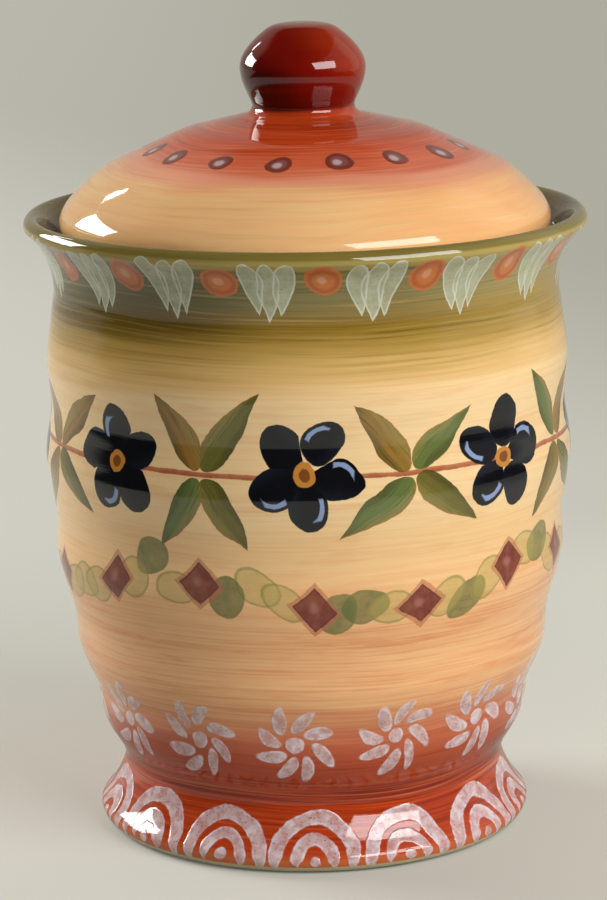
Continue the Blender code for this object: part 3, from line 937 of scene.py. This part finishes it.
def lid_glaze():
    """A coral wash round the knob that fades to cream, with a ring of dots."""
    paint = Paint("lid_glaze")
    slow, _ = paint.noise(LID_DRIFT, detail=1.0, shift=3.0)
    wide = paint.radius + (slow - 0.5) * 5.0
    around = paint.whole(wide, paint.x * 0.02, paint.y * 0.02)
    fine, _ = paint.noise((1.1, 1.0, 1.0), detail=3.0, roughness=0.6, point=around)
    broad, _ = paint.noise((6.0, 1.0, 1.0), shift=9.0, point=around)
    uneven = wide - paint.x * 0.05 + (broad - 0.5) * 9.0
    colour = tinted(paint, LID_CREAM, AMBER, paint.x + (slow - 0.5) * 40.0, *LID_AMBER, 0.7)
    colour = tinted(paint, colour, TAN, fine, 0.45, 0.75, 0.42)
    level = paint.whole(paint.x, paint.y, wide)
    patch, _ = paint.noise(LID_PATCH, detail=3.0, roughness=0.6, shift=61.0, point=level)
    colour = tinted(paint, colour, BLUSH, patch, 0.5, 0.68, 0.17)
    colour = tinted(paint, colour, CREAM_PALE, patch, 0.48, 0.3, 0.35)
    for pigment, start, end, thick in LID_WASHES:
        colour = wash(paint, colour, pigment, uneven, start, end, fine, thick)
    rusty, rosy = paint.ramp(wide, *LID_RUST_STREAKS), paint.ramp(wide, *LID_BLUSH_STREAKS)
    colour = tinted(paint, colour, DEEP_RUST, fine, 0.52, 0.68, rusty * 0.45)
    colour = tinted(paint, colour, BLUSH, fine, 0.47, 0.32, rosy * 0.3)
    colour, dot = lid_dots(paint, Hand(paint), colour)
    return paint.finish(colour, fine * 0.1 + paint.ramp(dot, 0.0, 0.8) * 0.5)


def knob_glaze():
    """Deep oxblood with painted shade on the left and low down and painted light on the right and on top,
    that breaks to rust at the neck.
    """
    paint = Paint("knob_glaze")
    fine, broad = streaks(paint)
    height = paint.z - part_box("lid")[1].z / MM
    # painted shade: darker to the left and low down
    dark = height + paint.x * 0.7 + (broad - 0.5) * 16.0
    colour = paint.over(OXBLOOD_PAINTED_SHADE, OXBLOOD, paint.ramp(dark, *KNOB_PAINTED_SHADE))
    # painted light: brighter to the right and on top
    bright = height + paint.x * 1.1 + (broad - 0.5) * 18.0
    colour = tinted(paint, colour, OXBLOOD_PAINTED_LIGHT, bright, *KNOB_PAINTED_LIGHT, 0.85)
    colour = tinted(paint, colour, RUST, height + (fine - 0.5) * 3.0, *KNOB_NECK, 0.9)
    return paint.finish(colour, fine * 0.08)


def plain_glaze():
    """The clear glaze inside, over a cream body."""
    paint = Paint("inner_glaze", INNER_ROUGHNESS)
    fine, broad = streaks(paint)
    colour = tinted(paint, INNER_CREAM, CREAM, broad, 0.4, 0.8, 0.4)
    colour = tinted(paint, colour, TAN, fine, 0.5, 0.8, 0.16)
    return paint.finish(colour, fine * 0.15)


def bare_clay():
    """Unglazed stoneware, with fine specks."""
    paint = Paint("bare_clay", CLAY_ROUGHNESS)
    grain, _ = paint.noise(CLAY_GRAIN, detail=3.0, roughness=0.7)
    blotch, _ = paint.noise(CLAY_BLOTCH, shift=5.0)
    colour = tinted(paint, CLAY, CLAY_DARK, grain, 0.55, 0.75, 0.6)
    colour = tinted(paint, colour, CLAY_DARK, blotch, 0.45, 0.8, 0.5)
    return paint.finish(colour, grain)


def silicone():
    """Matte silicone with a little dust."""
    paint = Paint("seal_silicone", SILICONE_ROUGHNESS)
    blotch, _ = paint.noise(DUST_GRAIN, detail=3.0)
    return paint.finish(tinted(paint, SILICONE, SILICONE_DUSTY, blotch, 0.4, 0.8, 0.5))


# Pieces

def dress(name, node, body, outline, materials, zones=None, sides=SIDES, ring=False, stray=0.0):
    """Turns a fine piece that stands for a node."""
    piece = turned(name, outline, sides, materials, zones or [PAINTED] * len(outline), ring, stray)
    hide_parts(node)
    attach(piece, body)


def make_jar(materials):
    """Painted outside, olive from the lip's crest to the ledge, plain inside, bare underneath.
    Its outline starts underneath."""
    outline = fine_outline(*cad_outline("canister_body"))
    crest = max(range(len(outline)), key=lambda i: outline[i][1])
    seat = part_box("lid")[0].z + SEAT_ABOVE_FLANGE
    foot = max(radius for radius, height in outline if height < FOOT_CLEAR)
    zones = []
    for i, (radius, height) in enumerate(outline):
        if i >= crest:
            zones.append(MOUTH if height > seat else PLAIN)
        else:
            zones.append(BARE if height < RECESS_TOP and radius < foot - FOOT_EDGE else PAINTED)
    dress("jar", "canister_body", "jar", outline, materials, zones, stray=WOBBLE)


def make_lid(materials):
    """Painted from its edge to the knob, plain underneath, bare on the flange's lower edge."""
    outline = fine_outline(*cad_outline("lid"))
    edge = max(range(len(outline)), key=lambda i: outline[i][0])
    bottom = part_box("lid")[0].z
    zones = []
    for i, (_, height) in enumerate(outline):
        if i >= edge - LID_EDGE_POINTS:
            zones.append(PAINTED)
        else:
            zones.append(BARE if height < bottom + BARE_EDGE else PLAIN)
    dress("lid_dome", "lid", "lid", outline, materials, zones)


def make_knob(glaze):
    """The knob down to its neck, then a fillet of clay and glaze that runs out on the crown."""
    points, _ = cad_outline("lid_knob")
    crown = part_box("lid")[1].z
    above = sorted((p for p in points if p[1] > crown + KNOB_NECK_ABOVE), key=lambda p: p[1])
    neck = above[0] if above[0][0] > WELD else above[1]
    skirt = [(neck[0] + out, crown + up) for out, up in KNOB_SKIRT]
    underside = [(0.0, crown + KNOB_SKIRT[0][1]), skirt[0]]     # with its own edge points, so a sharp edge
    outline = underside + curve_through([*skirt, *above])
    dress("knob", "lid_knob", "lid", outline, [glaze], sides=KNOB_SIDES)


def make_seal(material):
    """A gasket with ribs that grip the mouth."""
    low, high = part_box("lid_seal")
    inner = min(radius for radius, _ in cad_outline("lid_seal")[0])
    step = (high.z - low.z) / SEAL_RIBS
    points = [(inner, low.z), (inner, high.z)]
    for rib in range(SEAL_RIBS):
        top = high.z - rib * step
        points += [(high.x - SEAL_RIB_DEPTH * inward, top - step * down) for inward, down in SEAL_RIB]
    points.append((high.x - SEAL_RIB_DEPTH, low.z))
    dress("seal_ring", "lid_seal", "seal", points, [material], ring=True)


inner, clay = plain_glaze(), bare_clay()
make_jar([jar_glaze(), inner, clay, mouth_glaze()])
make_lid([lid_glaze(), inner, clay])
make_knob(knob_glaze())
make_seal(silicone())


# Camera, floor and light

def make_camera():
    """A camera that stands and looks as the photograph's did."""
    data = bpy.data.cameras.new("camera")
    data.sensor_width = SENSOR_WIDTH
    data.lens = FOCAL_PIXELS * SENSOR_WIDTH / FRAME_HEIGHT
    data.shift_x = (FRAME_WIDTH / 2 - AXIS_PIXEL_X) / FRAME_HEIGHT
    data.clip_start, data.clip_end = CLIP_NEAR, CLIP_FAR
    camera = bpy.data.objects.new("camera", data)
    tilt = math.radians(CAMERA_ELEVATION)
    place = Vector((0.0, -math.cos(tilt), math.sin(tilt))) * CAMERA_DISTANCE
    place.z += CAMERA_AIM_HEIGHT
    turn = Matrix.Rotation(math.pi / 2 - tilt, 4, "X")
    roll = Matrix.Rotation(math.radians(CAMERA_ROLL), 4, "Z")
    camera.matrix_world = Matrix.Translation(place) @ turn @ roll
    bpy.context.scene.collection.objects.link(camera)
    bpy.context.scene.camera = camera


def area_light(name, power, azimuth, elevation, distance, width, height):
    """A soft box that faces the object."""
    data = bpy.data.lights.new(name, "AREA")
    data.shape = "RECTANGLE"
    data.size, data.size_y = width, height
    data.energy = power
    a, e = math.radians(azimuth), math.radians(elevation)
    away = Vector((math.sin(a) * math.cos(e), -math.cos(a) * math.cos(e), math.sin(e))) * distance
    light = bpy.data.objects.new(name, data)
    light.location = Vector(LAMP_AIM) + away
    light.rotation_euler = (-away).to_track_quat("-Z", "Y").to_euler()
    bpy.context.scene.collection.objects.link(light)


def floor_colour(nodes, x, y, far):
    """What the paper looks like: paler in front, with a lit patch on the near right."""
    back = nodes.over(FLOOR_LEFT, FLOOR_RIGHT, nodes.ramp(x, *LEFT_TO_RIGHT))
    pool = nodes.ramp(x, *POOL_X) * nodes.ramp(y, *POOL_Y) * nodes.ramp(far, *POOL_FAR)
    front = nodes.over(FLOOR_FRONT, FLOOR_LIT, pool)
    return nodes.over(front, back, nodes.ramp(x * 2.0 + y, *FRONT_TO_BACK))


def make_floor():
    """Pale paper. Near the object the lamps light it, and farther away it shows its plain colour, as a
    lit sweep of paper would. It stays dark in the gap under the foot. The glaze mirrors it as far as
    the table's edge in front, with a dark room beyond, and darker close to the foot."""
    mesh = bmesh.new()
    bmesh.ops.create_grid(mesh, x_segments=FLOOR_SQUARES, y_segments=FLOOR_SQUARES, size=FLOOR_HALF)
    data = bpy.data.meshes.new("floor")
    mesh.to_mesh(data)
    mesh.free()
    floor = bpy.data.objects.new("floor", data)
    floor.location = FLOOR_PLACE
    bpy.context.scene.collection.objects.link(floor)
    material = bpy.data.materials.new("floor_paper")
    material.use_nodes = True
    nodes = Nodes(material.node_tree)
    shader = nodes.tree.nodes["Principled BSDF"]
    shader.inputs["Roughness"].default_value = PAPER_ROUGHNESS
    shader.inputs["Specular IOR Level"].default_value = PAPER_SPECULAR
    shader.inputs["Base Color"].default_value = (*linear(PAPER), 1.0)
    x, y, _ = nodes.parts(nodes.node("NewGeometry").outputs["Position"])
    far = nodes.length(x, y)
    lens, mirror = nodes.rays()
    seen = nodes.most(lens, mirror)
    under = nodes.ramp(far, *FOOT_MIRROR) * FOOT_MIRROR_DARK * mirror
    near = nodes.most(nodes.ramp(far, TABLE_EDGE + TABLE_EDGE_SOFT, TABLE_EDGE), lens)
    near = nodes.most(near, nodes.ramp(y, *BEHIND)) - under
    shown = nodes.over(DARK_ROOM, floor_colour(nodes, x, y, far), near)
    open_floor = nodes.ramp(far, *GAP_END) * seen
    lift = nodes.node("Emission", Color=shown, Strength=open_floor * PAPER_LIFT)
    lit = nodes.node("AddShader", shader.outputs[0], lift.outputs[0])
    glow = nodes.node("Emission", Color=shown)
    plain = nodes.most(nodes.ramp(far, *PLAIN_PAPER) * seen, under)
    blend = nodes.node("MixShader", plain, lit.outputs[0], glow.outputs[0])
    nodes.plug(nodes.tree.nodes["Material Output"].inputs["Surface"], blend.outputs[0])
    data.materials.append(material)


def make_world():
    """A dark room with a pale backdrop behind the object. The lens sees only the backdrop."""
    world = bpy.data.worlds.new("studio")
    bpy.context.scene.world = world
    world.use_nodes = True
    nodes = Nodes(world.node_tree)
    lens, _ = nodes.rays()
    _, away, upward = nodes.parts(nodes.node("TexCoord").outputs["Generated"])
    behind = nodes.ramp(away, *BACKDROP_START) * nodes.ramp(upward, *BACKDROP_TOP)
    colour = nodes.over(DARK_ROOM, BACKDROP, nodes.most(behind, lens))
    nodes.plug(nodes.tree.nodes["Background"].inputs["Color"], colour)


make_camera()
make_floor()
make_world()
for lamp in LAMPS:
    area_light(*lamp)
bpy.context.scene.view_settings.view_transform = "Standard"
